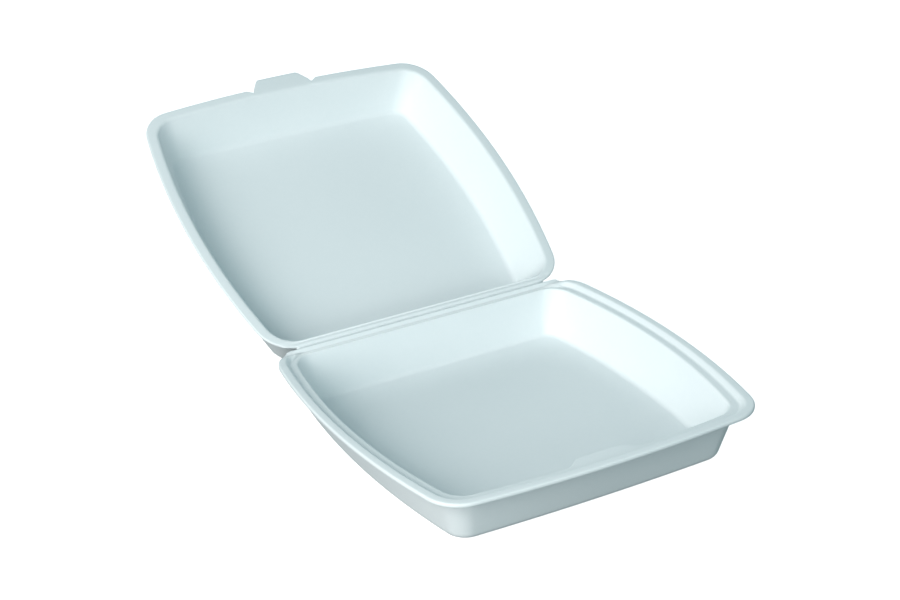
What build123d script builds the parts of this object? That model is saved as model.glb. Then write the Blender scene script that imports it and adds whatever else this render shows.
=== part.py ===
"""A hinged foam food container: a base tray and a lid formed from one sheet, joined by a straight crease.

Both halves are first drawn with the crease on the X axis, the rim's top at z = 0, the front towards -Y
and the hollow below the rim. The lid is then turned round to the other side of the crease and raised
to its open angle, and both are moved so that the base's underside is centred on the origin.
"""
import os
from dataclasses import dataclass, replace

from build123d import *

# Driving dimensions, in millimetres and degrees.

# The base's rim, seen from above
RIM_WIDTH = 240.0  # between the swollen sides, where they are furthest apart
RIM_DEPTH = 214.0  # from the crease to the middle of the front edge
SIDE_BOW = 12.4  # how far each side swells out past a straight line
FRONT_BOW = 5.5  # how far the front edge swells out past a straight line
RIM_CORNER = 23.0  # radius of the rim's corners

# The base's stepped rim and walls
BASE_HEIGHT = 36.0  # from the table to the top of the rim
BASE_WALL = 3.0  # thickness of the foam
RIM_TOP = 5.0  # width of the rim's flat top at the sides and the front
RIM_TOP_AT_CREASE = 3.0  # width of the rim's flat top along the crease
LEDGE_DROP = 3.0  # from the rim's top down to the ledge inside it
LEDGE_SLOPE = 2.4  # how far the sloped step reaches in as it drops to the ledge
LEDGE_SLOPE_AT_CREASE = 1.0
LEDGE_WIDTH = 4.7  # width of the ledge at the sides and the front
LEDGE_WIDTH_AT_CREASE = 2.0
MOUTH_CORNER = 15.0  # radius of the hollow's corners at the ledge
BASE_SIDE_DRAFT = 7.5  # how far each wall leans in from the ledge to the floor
BASE_BACK_DRAFT = 6.8
BASE_FRONT_DRAFT = 9.9
BASE_FLOOR_SIDE_BOW = 8.0  # the floor's sides and front swell out less than the rim's do
BASE_FLOOR_FRONT_BOW = 2.0
BASE_FLOOR_CORNER = 14.0
BASE_FLOOR_RADIUS = 5.0  # between the walls and the floor, inside
BASE_EDGE_RADIUS = 6.0  # between the walls and the underside, outside
BASE_RIM_ROUND = 1.0  # on the outer edge of the rim

# The shelf at the front of the ledge, which the lid's tab comes down over
SHELF_REACH = 7.0  # how far it stands in from the ledge
SHELF_HEIGHT = 15.0  # from the ledge down to where it runs out into the wall
SHELF_LIP = 2.0  # height of its upright inner edge
SHELF_WIDTH = 28.0  # along its inner edge
SHELF_FLARE = 7.0  # how much wider it is at each end where it meets the ledge

# The lid
LID_SIDE_MARGIN = 3.0  # how far the lid's rim lies inside the base's at each side
LID_FRONT_MARGIN = 4.5  # and at the front
LID_HEIGHT = 30.0
LID_WALL = 2.0
LID_RIM = 6.2  # width of the lid's flat rim at the sides and the front
LID_RIM_AT_CREASE = 3.2
LID_MOUTH_SIDE_BOW = 11.3
LID_MOUTH_CORNER = 18.0
LID_SIDE_DRAFT = 11.0
LID_BACK_DRAFT = 9.0
LID_FRONT_DRAFT = 16.0
LID_FLOOR_SIDE_BOW = 9.0
LID_FLOOR_FRONT_BOW = 1.5
LID_FLOOR_CORNER = 15.0
LID_FLOOR_RADIUS = 5.0
LID_EDGE_RADIUS = 6.5
LID_RIM_ROUND = 0.7

# The lock tab on the middle of the lid's front edge, with a V-shaped nick at each side of it
TAB_REACH = 7.5
TAB_ROOT_WIDTH = 41.0
TAB_TIP_WIDTH = 31.0
TAB_CORNER = 2.5
NICK_DEPTH = 3.0
NICK_WIDTH = 5.5

# The crease
CREASE_GAP = 0.2  # from the fold line to each half's edge
CLOSED_GAP = 0.3  # between the two rims when the lid is shut
OPEN_ANGLE = 26.0  # how far the lid stands above lying flat open

OVERRUN = 2.0  # how far a cutting or filling shape runs past the surface it meets


@dataclass(frozen=True)
class Ring:
    """A level outline inside the base's rim: how far in it lies, how it swells, its corners and height."""

    side: float
    back: float
    front: float
    side_bow: float
    front_bow: float
    corner: float
    z: float

    def face(self) -> Face:
        """The flat face inside the outline, straight along the crease and swollen on its other sides."""
        half = RIM_WIDTH / 2 - SIDE_BOW - self.side
        back = -self.back
        front = self.front - RIM_DEPTH
        shoulder = front + self.front_bow
        middle = (back + shoulder) / 2
        edges = [
            Line((-half, back), (half, back)),
            ThreePointArc((half, back), (half + self.side_bow, middle), (half, shoulder)),
            ThreePointArc((half, shoulder), (0, front), (-half, shoulder)),
            ThreePointArc((-half, shoulder), (-half - self.side_bow, middle), (-half, back)),
        ]
        outline = make_face(edges)
        return Pos(0, 0, self.z) * fillet(outline.vertices(), self.corner)

    def grown(self, wall: float, drop: float) -> "Ring":
        """The ring of the foam's other face: a wall further out all round and lower by a drop."""
        return replace(
            self,
            side=self.side - wall,
            back=self.back - wall,
            front=self.front - wall,
            corner=self.corner + wall,
            z=self.z - drop,
        )


def between(top: Ring, bottom: Ring) -> Solid:
    """A solid with straight sloping sides from one ring down to another."""
    return loft([top.face(), bottom.face()], ruled=True)


def tub(top: Ring, bottom: Ring, radius: float) -> Solid:
    """A solid between two rings with its lower edge rounded."""
    block = between(top, bottom)
    return fillet(block.faces().sort_by(Axis.Z)[0].edges(), radius)


def rim_plate(rim: Ring, thickness: float, rounding: float) -> Solid:
    """A flat plate that fills a rim's outline, with both of its outer edges rounded."""
    plate = extrude(rim.face(), -thickness)
    upper = plate.faces().sort_by(Axis.Z)[-1].edges()
    lower = plate.faces().sort_by(Axis.Z)[0].edges()
    return fillet(upper + lower, rounding)


def opened_upward(top: Ring) -> Solid:
    """A cutter over a ring that clears whatever stands above the mouth."""
    return extrude(top.face(), OVERRUN)


def make_shelf(ledge: Ring) -> Solid:
    """The shelf that widens the ledge at the middle of the front, thinning out down the wall."""
    root = ledge.front - RIM_DEPTH
    tip = root + SHELF_REACH
    behind = root - OVERRUN
    top, lip, foot = ledge.z, ledge.z - SHELF_LIP, ledge.z - SHELF_HEIGHT
    half, spread = SHELF_WIDTH / 2, SHELF_WIDTH / 2 + SHELF_FLARE
    plan = Polygon((-spread, root), (-half, tip), (half, tip), (spread, root), (spread, behind),
                   (-spread, behind), align=None)
    side = Plane.YZ * Polygon((behind, top), (tip, top), (tip, lip), (root, foot), (behind, foot), align=None)
    return extrude(Pos(0, 0, foot) * plan, SHELF_HEIGHT) & extrude(side, spread, both=True)


def make_base() -> Part:
    """The base tray: a stepped rim, sloping walls and a floor of even thickness."""
    rim = Ring(0, CREASE_GAP, 0, SIDE_BOW, FRONT_BOW, RIM_CORNER, 0)
    rim_inside = Ring(RIM_TOP, RIM_TOP_AT_CREASE, RIM_TOP, SIDE_BOW, FRONT_BOW, RIM_CORNER - RIM_TOP, 0)
    ledge_outside = replace(
        rim_inside,
        side=rim_inside.side + LEDGE_SLOPE,
        back=rim_inside.back + LEDGE_SLOPE_AT_CREASE,
        front=rim_inside.front + LEDGE_SLOPE,
        corner=rim_inside.corner - LEDGE_SLOPE_AT_CREASE,
        z=-LEDGE_DROP,
    )
    ledge_inside = replace(
        ledge_outside,
        side=ledge_outside.side + LEDGE_WIDTH,
        back=ledge_outside.back + LEDGE_WIDTH_AT_CREASE,
        front=ledge_outside.front + LEDGE_WIDTH,
        corner=MOUTH_CORNER,
    )
    floor = Ring(
        ledge_inside.side + BASE_SIDE_DRAFT,
        ledge_inside.back + BASE_BACK_DRAFT,
        ledge_inside.front + BASE_FRONT_DRAFT,
        BASE_FLOOR_SIDE_BOW,
        BASE_FLOOR_FRONT_BOW,
        BASE_FLOOR_CORNER,
        BASE_WALL - BASE_HEIGHT,
    )
    half_wall = BASE_WALL / 2
    step = between(rim_inside.grown(half_wall, BASE_WALL), ledge_outside.grown(half_wall, BASE_WALL))
    walls = tub(ledge_inside.grown(BASE_WALL, BASE_WALL), floor.grown(BASE_WALL, BASE_WALL), BASE_EDGE_RADIUS)
    outside = rim_plate(rim, BASE_WALL, BASE_RIM_ROUND) + step + walls
    hollow = tub(ledge_inside, floor, BASE_FLOOR_RADIUS)
    mouth = between(rim_inside, ledge_outside) + opened_upward(rim_inside)
    tray = outside - mouth - hollow
    return tray + make_shelf(ledge_inside)


def make_tab(rim: Ring) -> Part:
    """The lock tab: a flat tongue that narrows to a round-cornered tip."""
    edge = rim.front - RIM_DEPTH
    tip = edge - TAB_REACH
    behind = edge + NICK_DEPTH
    root, end = TAB_ROOT_WIDTH / 2, TAB_TIP_WIDTH / 2
    tongue = Polygon((-root, behind), (-root, edge), (-end, tip), (end, tip), (root, edge), (root, behind),
                     align=None)
    corners = tongue.vertices().sort_by(Axis.Y)[:2]
    return extrude(fillet(corners, TAB_CORNER), -LID_WALL)


def make_nick(rim: Ring, side: int) -> Part:
    """The V-shaped nick beside the tab, on the side that the sign gives."""
    edge = rim.front - RIM_DEPTH
    mouth, root = edge - rim.front_bow, TAB_ROOT_WIDTH / 2
    nick = Polygon((side * root, mouth), (side * root, edge), (side * (root + NICK_DEPTH / 3), edge + NICK_DEPTH),
                   (side * (root + NICK_WIDTH), edge), (side * (root + NICK_WIDTH), mouth), align=None)
    return extrude(Pos(0, 0, OVERRUN) * nick, -LID_WALL - 2 * OVERRUN)


def make_lid() -> Part:
    """The lid: a flat rim, sloping walls, a flat top and the lock tab, drawn as the base is."""
    rim = Ring(LID_SIDE_MARGIN, CREASE_GAP, LID_FRONT_MARGIN, SIDE_BOW, FRONT_BOW, RIM_CORNER, 0)
    mouth = Ring(
        rim.side + LID_RIM,
        LID_RIM_AT_CREASE,
        rim.front + LID_RIM,
        LID_MOUTH_SIDE_BOW,
        FRONT_BOW,
        LID_MOUTH_CORNER,
        0,
    )
    floor = Ring(
        mouth.side + LID_SIDE_DRAFT,
        mouth.back + LID_BACK_DRAFT,
        mouth.front + LID_FRONT_DRAFT,
        LID_FLOOR_SIDE_BOW,
        LID_FLOOR_FRONT_BOW,
        LID_FLOOR_CORNER,
        LID_WALL - LID_HEIGHT,
    )
    walls = tub(mouth.grown(LID_WALL, LID_WALL), floor.grown(LID_WALL, LID_WALL), LID_EDGE_RADIUS)
    plate = rim_plate(rim, LID_WALL, LID_RIM_ROUND) + make_tab(rim)
    for side in (-1, 1):
        plate -= make_nick(rim, side)
    return plate + walls - tub(mouth, floor, LID_FLOOR_RADIUS) - opened_upward(mouth)


def main() -> None:
    """Builds both halves, puts them in place and writes one STEP file for each."""
    fold = Axis((0, 0, CLOSED_GAP / 2), (1, 0, 0))
    lid = (Rot(0, 0, 180) * make_lid()).rotate(fold, OPEN_ANGLE)
    stand = Pos(0, RIM_DEPTH / 2, BASE_HEIGHT)
    os.makedirs("parts", exist_ok=True)
    for name, shape in {"base_tray": make_base(), "lid": lid}.items():
        export_step(stand * shape, f"parts/{name}.step")


main()
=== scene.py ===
"""The looks of a hinged foam food container: a stepped tray and its lid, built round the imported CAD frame."""

from __future__ import annotations

import logging
import math
from dataclasses import astuple, dataclass, replace
from enum import Enum
from typing import Callable

import bmesh
import bpy
import numpy as np
from mathutils import Matrix, Vector


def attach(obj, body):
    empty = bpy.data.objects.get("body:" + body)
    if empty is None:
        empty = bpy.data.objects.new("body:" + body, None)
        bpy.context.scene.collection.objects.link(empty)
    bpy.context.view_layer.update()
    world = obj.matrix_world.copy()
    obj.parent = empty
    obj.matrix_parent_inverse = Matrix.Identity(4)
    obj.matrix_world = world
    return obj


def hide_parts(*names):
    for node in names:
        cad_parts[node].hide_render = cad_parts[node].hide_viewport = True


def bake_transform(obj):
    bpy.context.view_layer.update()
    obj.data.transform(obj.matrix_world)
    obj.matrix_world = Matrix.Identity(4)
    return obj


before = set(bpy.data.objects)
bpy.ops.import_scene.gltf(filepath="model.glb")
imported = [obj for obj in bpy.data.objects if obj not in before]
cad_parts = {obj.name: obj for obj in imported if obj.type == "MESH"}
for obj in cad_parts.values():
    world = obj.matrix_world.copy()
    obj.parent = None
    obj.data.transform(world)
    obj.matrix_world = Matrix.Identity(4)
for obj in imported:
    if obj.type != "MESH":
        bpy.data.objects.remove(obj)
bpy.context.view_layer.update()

log = logging.getLogger("container")
logging.basicConfig(level=logging.INFO, format="%(name)s: %(message)s")

MM = 0.001  # metres in a millimetre
FLAT_INSET = 12.0  # from a floor's edge to where its flat middle is drawn from, in millimetres
FLAT_CORNER = 6.0  # corner radius of that flat middle
LEVEL_TOLERANCE = 0.01  # millimetres within which two heights count as the same
MIX_SHARE, MIX_FIRST, MIX_SECOND, MIX_COLOUR = 0, 6, 7, 2  # a Mix node's colour sockets, by number

Colour = tuple[float, float, float, float]
WHITE: Colour = (1.0, 1.0, 1.0, 1.0)


class Body(str, Enum):
    """The two rigid bodies that the crease joins."""

    BASE = "base"
    LID = "lid"


@dataclass(frozen=True)
class Ring:
    """A level outline inside a rim, in millimetres, with the crease at y = 0 and the front towards -y.

    side, back and front are how far in it lies on each edge, and the bows are how far its edges swell.
    """

    side: float
    back: float
    front: float
    corner: float
    z: float = 0.0
    side_bow: float = 12.4
    front_bow: float = 5.5

    def mixed(self, other: Ring, share: float) -> Ring:
        """The ring that lies a share of the way to another one.

        Args:
            other: the ring to move towards.
            share: 0 for this ring, 1 for the other.

        Returns:
            The ring between them.
        """
        mine, theirs = np.array(astuple(self)), np.array(astuple(other))
        return Ring(*(mine + (theirs - mine) * share))

    def flat(self) -> Ring:
        """The edge of the flat middle of a floor whose own edge is this ring."""
        return replace(self, side=self.side + FLAT_INSET, back=self.back + FLAT_INSET,
                       front=self.front + FLAT_INSET, corner=FLAT_CORNER)

    def grown(self, wall: float, drop: float) -> Ring:
        """The ring of the foam's other face, a wall further out all round and lower by a drop."""
        return replace(self, side=self.side - wall, back=self.back - wall, front=self.front - wall,
                       corner=self.corner + wall, z=self.z - drop)

    def distance(self, other: Ring) -> float:
        """How far apart two rings lie, seen in section at the side wall."""
        return math.hypot(self.side - other.side, self.z - other.z)


@dataclass(frozen=True)
class Rim:
    """The rim's plan that every ring lies inside, with the counts of points that a ring is drawn with."""

    width: float = 240.0
    depth: float = 214.0
    side_bow: float = 12.4
    edge_points: int = 44
    corner_points: int = 14
    stop_points: int = 7

    def points(self, ring: Ring, stops: tuple[float, ...]) -> np.ndarray:
        """A closed loop of points on a ring, from the middle of the crease edge by way of its right side.

        Args:
            ring: the outline to draw.
            stops: distances from the middle of the front edge that get a point on each side of it.

        Returns:
            One row of x, y, z for each point, in millimetres.
        """
        half = self.width / 2 - self.side_bow - ring.side
        back, front = -ring.back, ring.front - self.depth
        shoulder = front + ring.front_bow
        middle, chord = (back + shoulder) / 2, back - shoulder
        side_radius = (chord * chord / 4 + ring.side_bow**2) / (2 * ring.side_bow)
        side_x = half + ring.side_bow - side_radius
        front_radius = (half * half + ring.front_bow**2) / (2 * ring.front_bow)
        front_y = front + front_radius
        corner = ring.corner

        rear_y = back - corner
        rear_x = side_x + math.sqrt((side_radius - corner) ** 2 - (rear_y - middle) ** 2)
        fore_x, fore_y = circles_meet(
            (side_x, middle), side_radius - corner, (0.0, front_y), front_radius - corner)

        rear_turn = math.atan2(rear_y - middle, rear_x - side_x)
        fore_turn = math.atan2(fore_y - middle, fore_x - side_x)
        front_turn = math.atan2(fore_y - front_y, fore_x)
        rear_arc = arc((rear_x, rear_y), corner, math.pi / 2, rear_turn, self.corner_points)
        side_arc = arc((side_x, middle), side_radius, rear_turn, fore_turn, self.edge_points)
        fore_arc = arc((fore_x, fore_y), corner, fore_turn, front_turn, self.corner_points)
        reach = front_radius * math.cos(front_turn)
        xs = self.front_stations(reach, stops)
        front_arc = np.c_[xs, front_y - np.sqrt(front_radius**2 - xs**2)]
        crease_points = self.edge_points // 2
        crease = np.c_[np.linspace(0, rear_x, crease_points), np.full(crease_points, back)]
        right = np.vstack([crease[:-1], rear_arc[:-1], side_arc[:-1], fore_arc[:-1], front_arc])
        left = right[-2:0:-1] * [-1, 1]
        loop = np.vstack([right, left])
        return np.c_[loop, np.full(len(loop), ring.z)]

    def front_stations(self, reach: float, stops: tuple[float, ...]) -> np.ndarray:
        """Where the points of the front edge's right half lie, from its corner to its middle."""
        plain = np.linspace(reach, stops[0], self.edge_points // 2)[:-1]
        fine = [np.linspace(a, b, self.stop_points)[:-1] for a, b in zip(stops, (*stops[1:], 0.0))]
        return np.concatenate([plain, *fine, [0.0]])


def circles_meet(a: tuple[float, float], ra: float, b: tuple[float, float], rb: float) -> tuple[float, float]:
    """The right-hand point where two circles cross.

    Args:
        a: centre of the first circle.
        ra: its radius.
        b: centre of the second circle.
        rb: its radius.

    Returns:
        The crossing point with the larger x.
    """
    dx, dy = b[0] - a[0], b[1] - a[1]
    span = math.hypot(dx, dy)
    along = (ra * ra - rb * rb + span * span) / (2 * span)
    off = math.sqrt(ra * ra - along * along)
    foot = (a[0] + along * dx / span, a[1] + along * dy / span)
    found = [(foot[0] + s * off * dy / span, foot[1] - s * off * dx / span) for s in (-1, 1)]
    return max(found)


def eased(share: np.ndarray) -> np.ndarray:
    """A share from 0 to 1 with a soft start and a soft end."""
    return share * share * (3 - 2 * share)


def arc(centre: tuple[float, float], radius: float, start: float, end: float, count: int) -> np.ndarray:
    """Points along an arc from one angle to another, as rows of x and y."""
    turn = np.linspace(start, end, count)
    return np.c_[centre[0] + radius * np.cos(turn), centre[1] + radius * np.sin(turn)]


@dataclass(frozen=True)
class Bend:
    """A ring at which a section turns, and how far back along each side its rounding begins."""

    ring: Ring
    rounding: float = 0.0


def rounded_section(bends: list[Bend], spacing: float, steps: int = 7) -> list[Ring]:
    """The rings of a section that runs through a list of bends, each rounded off.

    Args:
        bends: the section's bends in order.
        spacing: about how far apart rings lie on the straight stretches, in millimetres.
        steps: rings in each rounding.

    Returns:
        The rings, in order.
    """
    rings: list[Ring] = []
    for index, bend in enumerate(bends):
        here = bend.ring
        if bend.rounding == 0.0 or index in (0, len(bends) - 1):
            turned = [here]
        else:
            before, after = bends[index - 1].ring, bends[index + 1].ring
            start = here.mixed(before, bend.rounding / here.distance(before))
            end = here.mixed(after, bend.rounding / here.distance(after))
            turned = []
            for step in range(steps + 1):
                t = step / steps
                turned.append(start.mixed(here, t).mixed(here.mixed(end, t), t))
        if rings:
            gap = rings[-1].distance(turned[0])
            count = max(int(gap / spacing), 1)
            last = rings[-1]
            rings += [last.mixed(turned[0], n / count) for n in range(1, count)]
        rings += turned
    return rings


@dataclass
class Shell:
    """A closed foam shell: rings from the middle of its inner face, over the rim, to the middle outside."""

    name: str
    rim: Rim
    bends: list[Bend]
    stops: tuple[float, ...]
    shaper: Callable[[np.ndarray, Ring], np.ndarray]
    spacing: float = 1.2
    floor_steps: int = 12
    crown: float = 0.5

    def build(self, place: Matrix) -> bpy.types.Object:
        """Makes the shell's mesh and its object.

        Args:
            place: takes the crease's frame, in millimetres, to the model's frame, in metres.

        Returns:
            The object, with its place in its mesh.
        """
        rings = rounded_section(self.bends, self.spacing)
        loops = [self.shaper(self.rim.points(ring, self.stops), ring) for ring in rings]
        rows = [*self.floor(loops[0]), *loops, *reversed(self.floor(loops[-1]))]
        size = len(rows[0])
        lift = [0, 0, self.crown]
        points = np.vstack([*rows, loops[0].mean(axis=0) + lift, loops[-1].mean(axis=0) + lift])
        around = np.arange(size)
        following = (around + 1) % size
        faces = []
        for row in range(len(rows) - 1):
            low, high = row * size, (row + 1) * size
            faces += [(low + a, low + b, high + b, high + a) for a, b in zip(around, following)]
        first, last = len(rows) * size, len(rows) * size + 1
        top = (len(rows) - 1) * size
        faces += [(first, int(b), int(a)) for a, b in zip(around, following)]
        faces += [(last, int(top + a), int(top + b)) for a, b in zip(around, following)]
        return mesh_object(self.name, points, faces, place)

    def floor(self, edge: np.ndarray) -> list[np.ndarray]:
        """Loops that grow from near the middle of a floor out to its edge, with a slight crown."""
        middle = edge.mean(axis=0)
        loops = []
        for step in range(1, self.floor_steps):
            share = step / self.floor_steps
            loop = middle + (edge - middle) * share
            loop[:, 2] += self.crown * (1 - share * share)
            loops.append(loop)
        return loops


def mesh_object(name: str, points: np.ndarray, faces: list, place: Matrix) -> bpy.types.Object:
    """An object whose mesh lies where a matrix puts it, shaded smooth, with its normals outward.

    Args:
        name: the piece's name.
        points: rows of x, y, z.
        faces: tuples of point numbers.
        place: what the points go through.

    Returns:
        The object, linked to the scene.
    """
    mesh = bpy.data.meshes.new(name)
    mesh.from_pydata([tuple(p) for p in points], [], [tuple(int(i) for i in f) for f in faces])
    mesh.transform(place)
    shape = bmesh.new()
    shape.from_mesh(mesh)
    bmesh.ops.recalc_face_normals(shape, faces=shape.faces)
    shape.to_mesh(mesh)
    shape.free()
    mesh.shade_smooth()
    piece = bpy.data.objects.new(name, mesh)
    bpy.context.scene.collection.objects.link(piece)
    return piece


@dataclass(frozen=True)
class Hinge:
    """Where the fold line lies, in millimetres, and how many degrees above flat the lid stands."""

    height: float = 36.0
    gap: float = 0.3
    open_angle: float = 26.0
    rim_depth: float = 214.0

    def tray_place(self) -> Matrix:
        """Takes the crease's frame to the model's, for the tray."""
        return Matrix.Scale(MM, 4) @ Matrix.Translation((0, self.rim_depth / 2, self.height))

    def lid_place(self) -> Matrix:
        """Takes the crease's frame to the model's, for the lid as it stands open."""
        up = Matrix.Translation((0, 0, self.gap / 2))
        turn = Matrix.Rotation(math.radians(self.open_angle), 4, "X")
        return self.tray_place() @ up @ turn @ up.inverted() @ Matrix.Rotation(math.pi, 4, "Z")


@dataclass
class Tray:
    """The base tray: a flat rim, a step down to a ledge, sloping walls and a shelf at the front.

    edge_band is the width of the rim's rounded outer edge, ledge_end is how far in the ledge reaches, and
    face_split lies between the wall's two faces at the ledge. groove_rise gives the heights of the grooves
    beside the fold at the distances in groove_at. They fade out over the last groove_fade of groove_reach.
    """

    rim: Rim
    hinge: Hinge
    wall: float = 3.0
    height: float = 36.0
    ledge_drop: float = 3.0
    shelf_reach: float = 7.0
    shelf_half: float = 14.0
    shelf_flare: float = 11.0
    shelf_height: float = 15.0
    shelf_stops: tuple[float, ...] = (26.0, 14.0)
    edge_band: float = 1.5
    ledge_end: float = 12.2
    face_split: float = 10.2
    draft_slope: float = 0.25
    floor_clear: float = 1.0
    groove_reach: float = 9.0
    groove_fade: float = 3.0
    groove_at: tuple[float, ...] = (0.0, 0.2, 1.9, 2.6, 4.0, 5.6, 9.0)
    groove_rise: tuple[float, ...] = (-1.7, -1.7, -0.1, -0.2, -2.4, -0.8, -0.8)

    def sections(self) -> list[Bend]:
        """The bends from the floor's inner edge, over the rim, to the edge of the underside."""
        rim = Ring(side=0.0, back=0.2, front=0.0, corner=23.0)
        rim_inside = Ring(side=5.0, back=3.0, front=5.0, corner=18.0)
        ledge_outside = Ring(side=7.4, back=4.0, front=7.4, corner=17.0, z=-self.ledge_drop)
        ledge_inside = Ring(side=12.1, back=6.0, front=12.1, corner=15.0, z=-self.ledge_drop)
        floor = Ring(side=19.6, back=12.8, front=22.0, corner=9.0, z=self.wall - self.height,
                     side_bow=8.0, front_bow=2.0)
        half = self.wall / 2
        return [
            Bend(floor.flat()),
            Bend(floor, rounding=2.6),
            Bend(ledge_inside, rounding=1.2),
            Bend(ledge_outside, rounding=0.9),
            Bend(rim_inside, rounding=1.0),
            Bend(rim, rounding=1.4),
            Bend(replace(rim, z=-self.wall), rounding=1.4),
            Bend(rim_inside.grown(half, self.wall), rounding=0.8),
            Bend(ledge_outside.grown(half, self.wall), rounding=0.8),
            Bend(ledge_inside.grown(self.wall, self.wall), rounding=1.0),
            Bend(floor.grown(self.wall, self.wall), rounding=4.5),
            Bend(floor.flat().grown(self.wall, self.wall)),
        ]

    def shape_top(self, points: np.ndarray, ring: Ring) -> np.ndarray:
        """Shapes the shelf, and the shallow grooves that run beside the fold.

        Args:
            points: a ring's points.
            ring: the ring they were drawn from.

        Returns:
            The points, moved.
        """
        points = self.shape_shelf(points, ring)
        if ring.side >= self.ledge_end or ring.z < -self.ledge_drop - LEVEL_TOLERANCE:
            return points
        near = np.clip((self.groove_reach + points[:, 1]) / self.groove_fade, 0, 1)
        profile = np.interp(-points[:, 1], self.groove_at, self.groove_rise)
        squeezed = profile + ring.z * (1 + profile / self.wall)
        outer = ring.side < self.edge_band or ring.z <= -self.wall
        points[:, 2] += near * ((squeezed if outer else profile) - points[:, 2])
        return points

    def shape_shelf(self, points: np.ndarray, ring: Ring) -> np.ndarray:
        """Stands the inner wall in under the middle of the front ledge.

        Args:
            points: a ring's points.
            ring: the ring they were drawn from.

        Returns:
            The points, moved.
        """
        between_faces = self.face_split + self.draft_slope * (-self.ledge_drop - ring.z)
        inside = ring.side > between_faces and ring.z >= self.wall - self.height + self.floor_clear
        if not inside:
            return points
        from_end = self.shelf_half + self.shelf_flare - np.abs(points[:, 0])
        across = np.clip(from_end / self.shelf_flare, 0, 1)
        down = min(max((-self.ledge_drop - ring.z) / self.shelf_height, 0.0), 1.0)
        reach = self.shelf_reach * (1 - down) * eased(across)
        front = points[:, 1] < -self.rim.depth / 2
        points[:, 1] += np.where(front, reach, 0.0)
        return points

    def build(self) -> bpy.types.Object:
        """Builds the tray's mesh."""
        shell = Shell("tray_shell", self.rim, self.sections(), self.shelf_stops, self.shape_top)
        return shell.build(self.hinge.tray_place())


@dataclass
class Lid:
    """The lid: a flat rim, sloping walls and a lock tab with a nick at each side.

    rim_inset is how far inside the tray's rim the lid's lies at the sides, and flange is its width there.
    groove_rise gives the heights of the groove beside the fold at the distances in groove_at.
    """

    rim: Rim
    hinge: Hinge
    wall: float = 2.0
    height: float = 30.0
    tab_reach: float = 7.5
    tab_root: float = 20.5
    tab_tip: float = 15.5
    tip_inward: float = 1.2
    tip_outward: float = 0.6
    tip_drop: float = 1.3
    nick_depth: float = 3.0
    nick_width: float = 5.5
    nick_slope: float = 1.0
    rim_inset: float = 3.0
    flange: float = 6.2
    groove_at: tuple[float, ...] = (0.0, 0.2, 1.7, 2.3, 3.3, 4.3)
    groove_rise: tuple[float, ...] = (-1.2, -1.2, -0.05, -0.1, -1.3, 0.0)

    def sections(self) -> list[Bend]:
        """The bends from the flat's inner edge, over the rim, to the edge of the top's outer face."""
        rim = Ring(side=self.rim_inset, back=0.2, front=4.5, corner=23.0)
        mouth = Ring(side=9.2, back=4.6, front=10.7, corner=18.0, side_bow=11.3)
        floor = Ring(side=20.2, back=12.2, front=26.7, corner=10.0, z=self.wall - self.height,
                     side_bow=9.0, front_bow=1.5)
        return [
            Bend(floor.flat()),
            Bend(floor, rounding=2.6),
            Bend(mouth, rounding=1.6),
            Bend(rim, rounding=0.95),
            Bend(replace(rim, z=-self.wall), rounding=0.95),
            Bend(mouth.grown(self.wall, self.wall), rounding=1.6),
            Bend(floor.grown(self.wall, self.wall), rounding=4.5),
            Bend(floor.flat().grown(self.wall, self.wall)),
        ]

    def turns(self) -> tuple[float, ...]:
        """Distances from the middle at which the front edge turns: the tab's tip, its root and the nick."""
        return (self.tab_tip - self.tip_inward, self.tab_tip + self.tip_outward, self.tab_root,
                self.tab_root + self.nick_slope, self.tab_root + self.nick_width)

    def edge_offset(self, x: np.ndarray) -> np.ndarray:
        """How far the front edge stands out at each distance from its middle: the tab and its nicks."""
        out = (self.tab_reach, self.tab_reach, self.tab_reach - self.tip_drop, 0.0, -self.nick_depth, 0.0)
        return np.interp(np.abs(x), (0.0, *self.turns()), out)

    def shape_tab(self, points: np.ndarray, ring: Ring) -> np.ndarray:
        """Draws the front of the rim out into the tab, and lowers it beside the fold into a groove.

        Args:
            points: a ring's points.
            ring: the ring they were drawn from.

        Returns:
            The points, moved.
        """
        under = min(max(-ring.z / self.wall, 0.0), 1.0)
        width = self.flange - under * self.wall
        share = min(max((self.rim_inset + width - ring.side) / width, 0.0), 1.0)
        front = points[:, 1] < -self.rim.depth / 2
        points[:, 1] -= np.where(front, share * self.edge_offset(points[:, 0]), 0.0)
        if ring.z >= -self.wall:
            rise = np.interp(-points[:, 1], self.groove_at, self.groove_rise)
            points[:, 2] += rise * (1 + ring.z / self.wall)
        return points

    def build(self) -> bpy.types.Object:
        """Builds the lid's mesh."""
        shell = Shell("lid_shell", self.rim, self.sections(), self.turns()[::-1], self.shape_tab)
        return shell.build(self.hinge.lid_place())


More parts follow.
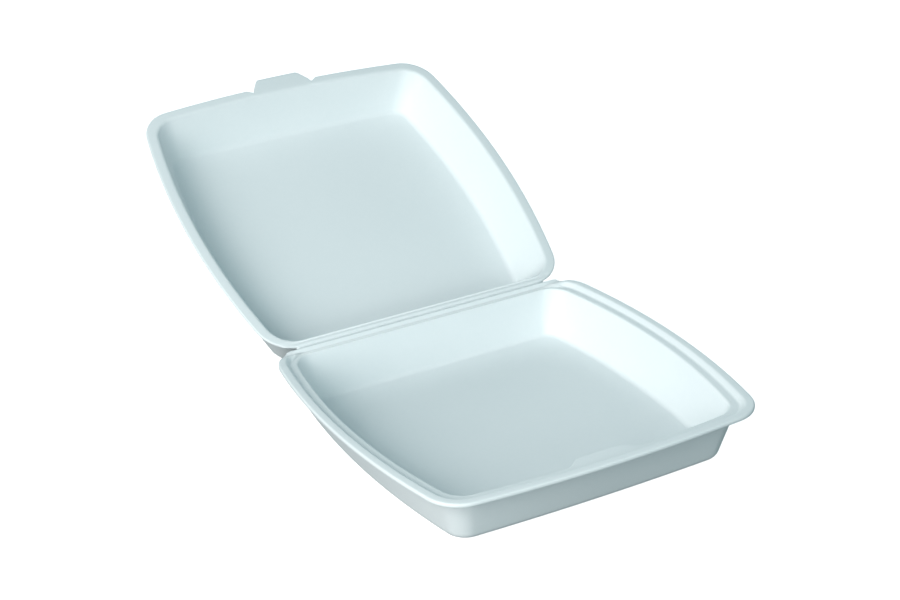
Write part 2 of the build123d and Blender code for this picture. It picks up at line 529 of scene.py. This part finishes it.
@dataclass
class Crease:
    """The thin web of foam that joins the halves and wraps round the fold line.

    inner and outer are the radii of its faces. Each face has as many points as turns says, from tuck degrees
    short of straight down to tuck degrees past the lid's angle.
    """

    hinge: Hinge
    half_width: float = 90.0
    inner: float = 1.15
    outer: float = 1.95
    tuck: float = 14.0
    columns: int = 60
    turns: int = 10

    def build(self) -> bpy.types.Object:
        """Builds the web as a bent bar round the fold line."""
        down = -90.0
        start = math.radians(down - self.tuck)
        end = math.radians(down + self.tuck + self.hinge.open_angle)
        angles = np.linspace(start, end, self.turns)
        faces_of_web = ((self.inner, angles), (self.outer, angles[::-1]))
        outline = [(r * math.cos(a), r * math.sin(a)) for r, path in faces_of_web for a in path]
        lift = self.hinge.gap / 2
        xs = np.linspace(-self.half_width, self.half_width, self.columns)
        points = np.array([(x, y, z + lift) for x in xs for y, z in outline])
        size = len(outline)
        faces = []
        for column in range(self.columns - 1):
            low, high = column * size, (column + 1) * size
            faces += [(low + a, low + (a + 1) % size, high + (a + 1) % size, high + a) for a in range(size)]
        faces += [tuple(range(size)), tuple(range(len(points) - 1, len(points) - 1 - size, -1))]
        return mesh_object("crease_web", points, faces, self.hinge.tray_place())


class Maths:
    """A number socket in a node tree, with operators that add Math nodes."""

    def __init__(self, nodes: Nodes, socket: bpy.types.NodeSocket) -> None:
        """Wraps a socket of a tree."""
        self.nodes, self.socket = nodes, socket

    def _with(self, operation: str, first: object, second: object) -> Maths:
        """A Math node on two values or sockets."""
        made = self.nodes.node("ShaderNodeMath", {"operation": operation}, {0: first, 1: second})
        return Maths(self.nodes, made)

    def __add__(self, other: Maths | float) -> Maths:
        """This plus another."""
        return self._with("ADD", self, other)

    def __mul__(self, other: Maths | float) -> Maths:
        """This times another."""
        return self._with("MULTIPLY", self, other)

    def __rsub__(self, other: float) -> Maths:
        """A number less this."""
        return self._with("SUBTRACT", other, self)


class Nodes:
    """Adds nodes to one node tree and links them."""

    def __init__(self, tree: bpy.types.NodeTree) -> None:
        """Wraps the tree."""
        self.tree = tree

    def node(self, kind: str, settings: dict[str, object], inputs: dict[int | str, object],
             output: int | str = 0) -> bpy.types.NodeSocket:
        """Adds a node.

        Args:
            kind: the node's type.
            settings: its own properties, set first.
            inputs: values or sockets for its inputs, by name or number.
            output: which output to return.

        Returns:
            The output socket.
        """
        made = self.tree.nodes.new(kind)
        for key, value in settings.items():
            setattr(made, key, value)
        for key, value in inputs.items():
            self.feed(made.inputs[key], value)
        return made.outputs[output]

    def blend(self, share: object, first: object, second: object) -> bpy.types.NodeSocket:
        """A colour between two others, at a share of the way from the first to the second."""
        return self.node("ShaderNodeMix", {"data_type": "RGBA"},
                         {MIX_SHARE: share, MIX_FIRST: first, MIX_SECOND: second}, MIX_COLOUR)

    def feed(self, socket: bpy.types.NodeSocket, value: object) -> None:
        """Links a socket to another, or sets its value."""
        if isinstance(value, Maths):
            value = value.socket
        if isinstance(value, bpy.types.NodeSocket):
            self.tree.links.new(value, socket)
        else:
            socket.default_value = value

    def number(self, socket: bpy.types.NodeSocket) -> Maths:
        """Wraps a number socket for maths."""
        return Maths(self, socket)


class Paint(Nodes):
    """One material's node tree, with its shader and its output."""

    def __init__(self, name: str) -> None:
        """Starts a material that has only its shader and its output."""
        self.material = bpy.data.materials.new(name)
        self.material.use_nodes = True
        super().__init__(self.material.node_tree)
        self.shader = self.tree.nodes["Principled BSDF"]
        self.output = self.tree.nodes["Material Output"]

    def set(self, **inputs: object) -> None:
        """Sets or links the shader's own sockets, named with underscores for spaces."""
        for key, value in inputs.items():
            self.feed(self.shader.inputs[key.replace("_", " ")], value)


@dataclass(frozen=True)
class FoamFinish:
    """Pressed bead foam: nearly white, matte, with fused beads and a faint mottle.

    The mottle and the beads shade the colour, and the beads and the grain lift the surface by relief_depth
    metres at most. The grain also varies the roughness.
    """

    light: Colour = (0.85, 0.885, 0.895, 1.0)
    shade: Colour = (0.81, 0.855, 0.87, 1.0)
    mottle_scale: float = 22.0
    mottle_detail: float = 4.0
    mottle_shade: float = 0.7
    bead_scale: float = 420.0
    bead_smoothness: float = 0.6
    bead_shade: float = 0.35
    bead_relief: float = 0.7
    grain_scale: float = 1500.0
    grain_detail: float = 2.0
    grain_relief: float = 0.3
    grain_roughness: float = 0.12
    roughness: float = 0.50
    relief_strength: float = 0.10
    relief_depth: float = 0.00025
    specular: float = 0.35

    def build(self) -> bpy.types.Material:
        """Makes the foam's material."""
        paint = Paint("pressed_foam")
        place = paint.node("ShaderNodeTexCoord", {}, {}, "Object")
        mottle = paint.node("ShaderNodeTexNoise", {},
                            {"Vector": place, "Scale": self.mottle_scale, "Detail": self.mottle_detail})
        cells = {"Vector": place, "Scale": self.bead_scale, "Smoothness": self.bead_smoothness}
        beads = paint.node("ShaderNodeTexVoronoi", {"feature": "SMOOTH_F1"}, cells, "Distance")
        grain = paint.node("ShaderNodeTexNoise", {},
                           {"Vector": place, "Scale": self.grain_scale, "Detail": self.grain_detail})
        share = paint.number(mottle) * self.mottle_shade + paint.number(beads) * self.bead_shade
        colour = paint.blend(share, self.light, self.shade)
        height = (1.0 - paint.number(beads)) * self.bead_relief + paint.number(grain) * self.grain_relief
        bump = paint.node("ShaderNodeBump", {}, {"Height": height, "Strength": self.relief_strength,
                                                 "Distance": self.relief_depth})
        rough = paint.number(grain) * self.grain_roughness + self.roughness
        paint.set(Base_Color=colour, Roughness=rough, Normal=bump, Specular_IOR_Level=self.specular)
        return paint.material


@dataclass(frozen=True)
class Lamp:
    """A square area lamp that is aimed at the container.

    turn is in degrees round from the front, positive to the right, and height in degrees above the floor.
    away and size are in metres, and power is in watts.
    """

    name: str
    turn: float
    height: float
    away: float
    size: float
    power: float
    tint: tuple[float, float, float]
    aim: tuple[float, float, float] = (0.0, 0.1, 0.04)

    def build(self) -> None:
        """Makes the lamp."""
        turn, height = math.radians(self.turn), math.radians(self.height)
        level = math.cos(height)
        offset = Vector((math.sin(turn) * level, -math.cos(turn) * level, math.sin(height)))
        data = bpy.data.lights.new(self.name, "AREA")
        data.size = self.size
        data.energy = self.power
        data.color = self.tint
        lamp = bpy.data.objects.new(self.name, data)
        lamp.location = Vector(self.aim) + offset * self.away
        lamp.rotation_euler = offset.to_track_quat("Z", "Y").to_euler()
        bpy.context.scene.collection.objects.link(lamp)


@dataclass(frozen=True)
class Studio:
    """The floor, the air, the soft lights and the camera."""

    eye: tuple[float, float, float] = (-0.6665, -1.0285, 0.7076)
    look: tuple[float, float, float] = (0.4619, 0.7646, -0.4495)
    lens: float = 93.7
    sensor: float = 36.0
    near_clip: float = 0.05
    floor_size: float = 12.0
    floor_grey: Colour = (0.16, 0.19, 0.2, 1.0)
    floor_white: Colour = (0.9, 0.9, 0.9, 1.0)
    floor_glow: float = 0.86
    air: Colour = (0.235, 0.335, 0.358, 1.0)
    lamps: tuple[Lamp, ...] = (
        Lamp("key_light", turn=-62.0, height=25.0, away=1.6, size=1.1, power=23.5, tint=(1.0, 0.985, 0.965)),
        Lamp("front_fill", turn=-8.0, height=9.0, away=1.6, size=0.8, power=4.6, tint=(0.86, 1.0, 1.0)),
        Lamp("rear_fill", turn=140.0, height=14.0, away=1.6, size=1.0, power=6.0, tint=(0.93, 1.0, 1.0)),
    )

    def build(self) -> None:
        """Makes everything round the object."""
        self.floor()
        self.world()
        for lamp in self.lamps:
            lamp.build()
        self.camera()

    def floor(self) -> None:
        """A wide pale floor that the camera sees as white but that lights the object only a little."""
        bpy.ops.mesh.primitive_plane_add(size=self.floor_size)
        plane = bpy.context.object
        plane.name = "studio_floor"
        paint = Paint("floor_paper")
        seen_directly = paint.node("ShaderNodeLightPath", {}, {}, "Is Camera Ray")
        grey = paint.node("ShaderNodeBsdfDiffuse", {}, {"Color": self.floor_grey})
        white = paint.node("ShaderNodeBsdfDiffuse", {}, {"Color": self.floor_white})
        glow = paint.node("ShaderNodeEmission", {}, {"Color": WHITE, "Strength": self.floor_glow})
        bright = paint.node("ShaderNodeAddShader", {}, {0: white, 1: glow})
        mixed = paint.node("ShaderNodeMixShader", {}, {0: seen_directly, 1: grey, 2: bright})
        paint.feed(paint.output.inputs["Surface"], mixed)
        plane.data.materials.append(paint.material)

    def world(self) -> None:
        """Even light from all round, white to the camera."""
        world = bpy.data.worlds.new("studio_air")
        bpy.context.scene.world = world
        world.use_nodes = True
        nodes = Nodes(world.node_tree)
        seen_directly = nodes.node("ShaderNodeLightPath", {}, {}, "Is Camera Ray")
        nodes.feed(nodes.tree.nodes["Background"].inputs["Color"], nodes.blend(seen_directly, self.air, WHITE))

    def camera(self) -> None:
        """A camera held level, in front and to the left, that looks down at the open container."""
        data = bpy.data.cameras.new("camera")
        data.lens = self.lens
        data.sensor_width = self.sensor
        data.clip_start = self.near_clip
        camera = bpy.data.objects.new("camera", data)
        camera.location = self.eye
        camera.rotation_euler = Vector(self.look).to_track_quat("-Z", "Y").to_euler()
        bpy.context.scene.collection.objects.link(camera)
        bpy.context.scene.camera = camera


def place_pieces(foam: bpy.types.Material) -> None:
    """Builds the tray, the lid and the crease, dresses them, ties the tray and the lid to their bodies and
    bakes the crease's place into its mesh.
    """
    rim, hinge = Rim(), Hinge()
    tray = Tray(rim, hinge).build()
    lid = Lid(rim, hinge).build()
    web = Crease(hinge).build()
    for piece in (tray, lid, web):
        piece.data.materials.append(foam)
        log.info("%s has %d faces", piece.name, len(piece.data.polygons))
    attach(tray, Body.BASE.value)
    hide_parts("base_tray")
    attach(lid, Body.LID.value)
    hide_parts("lid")
    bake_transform(web)


def main() -> None:
    """Builds the studio and the container."""
    bpy.context.scene.view_settings.view_transform = "Standard"
    Studio().build()
    place_pieces(FoamFinish().build())


if __name__ == "__main__":
    main()
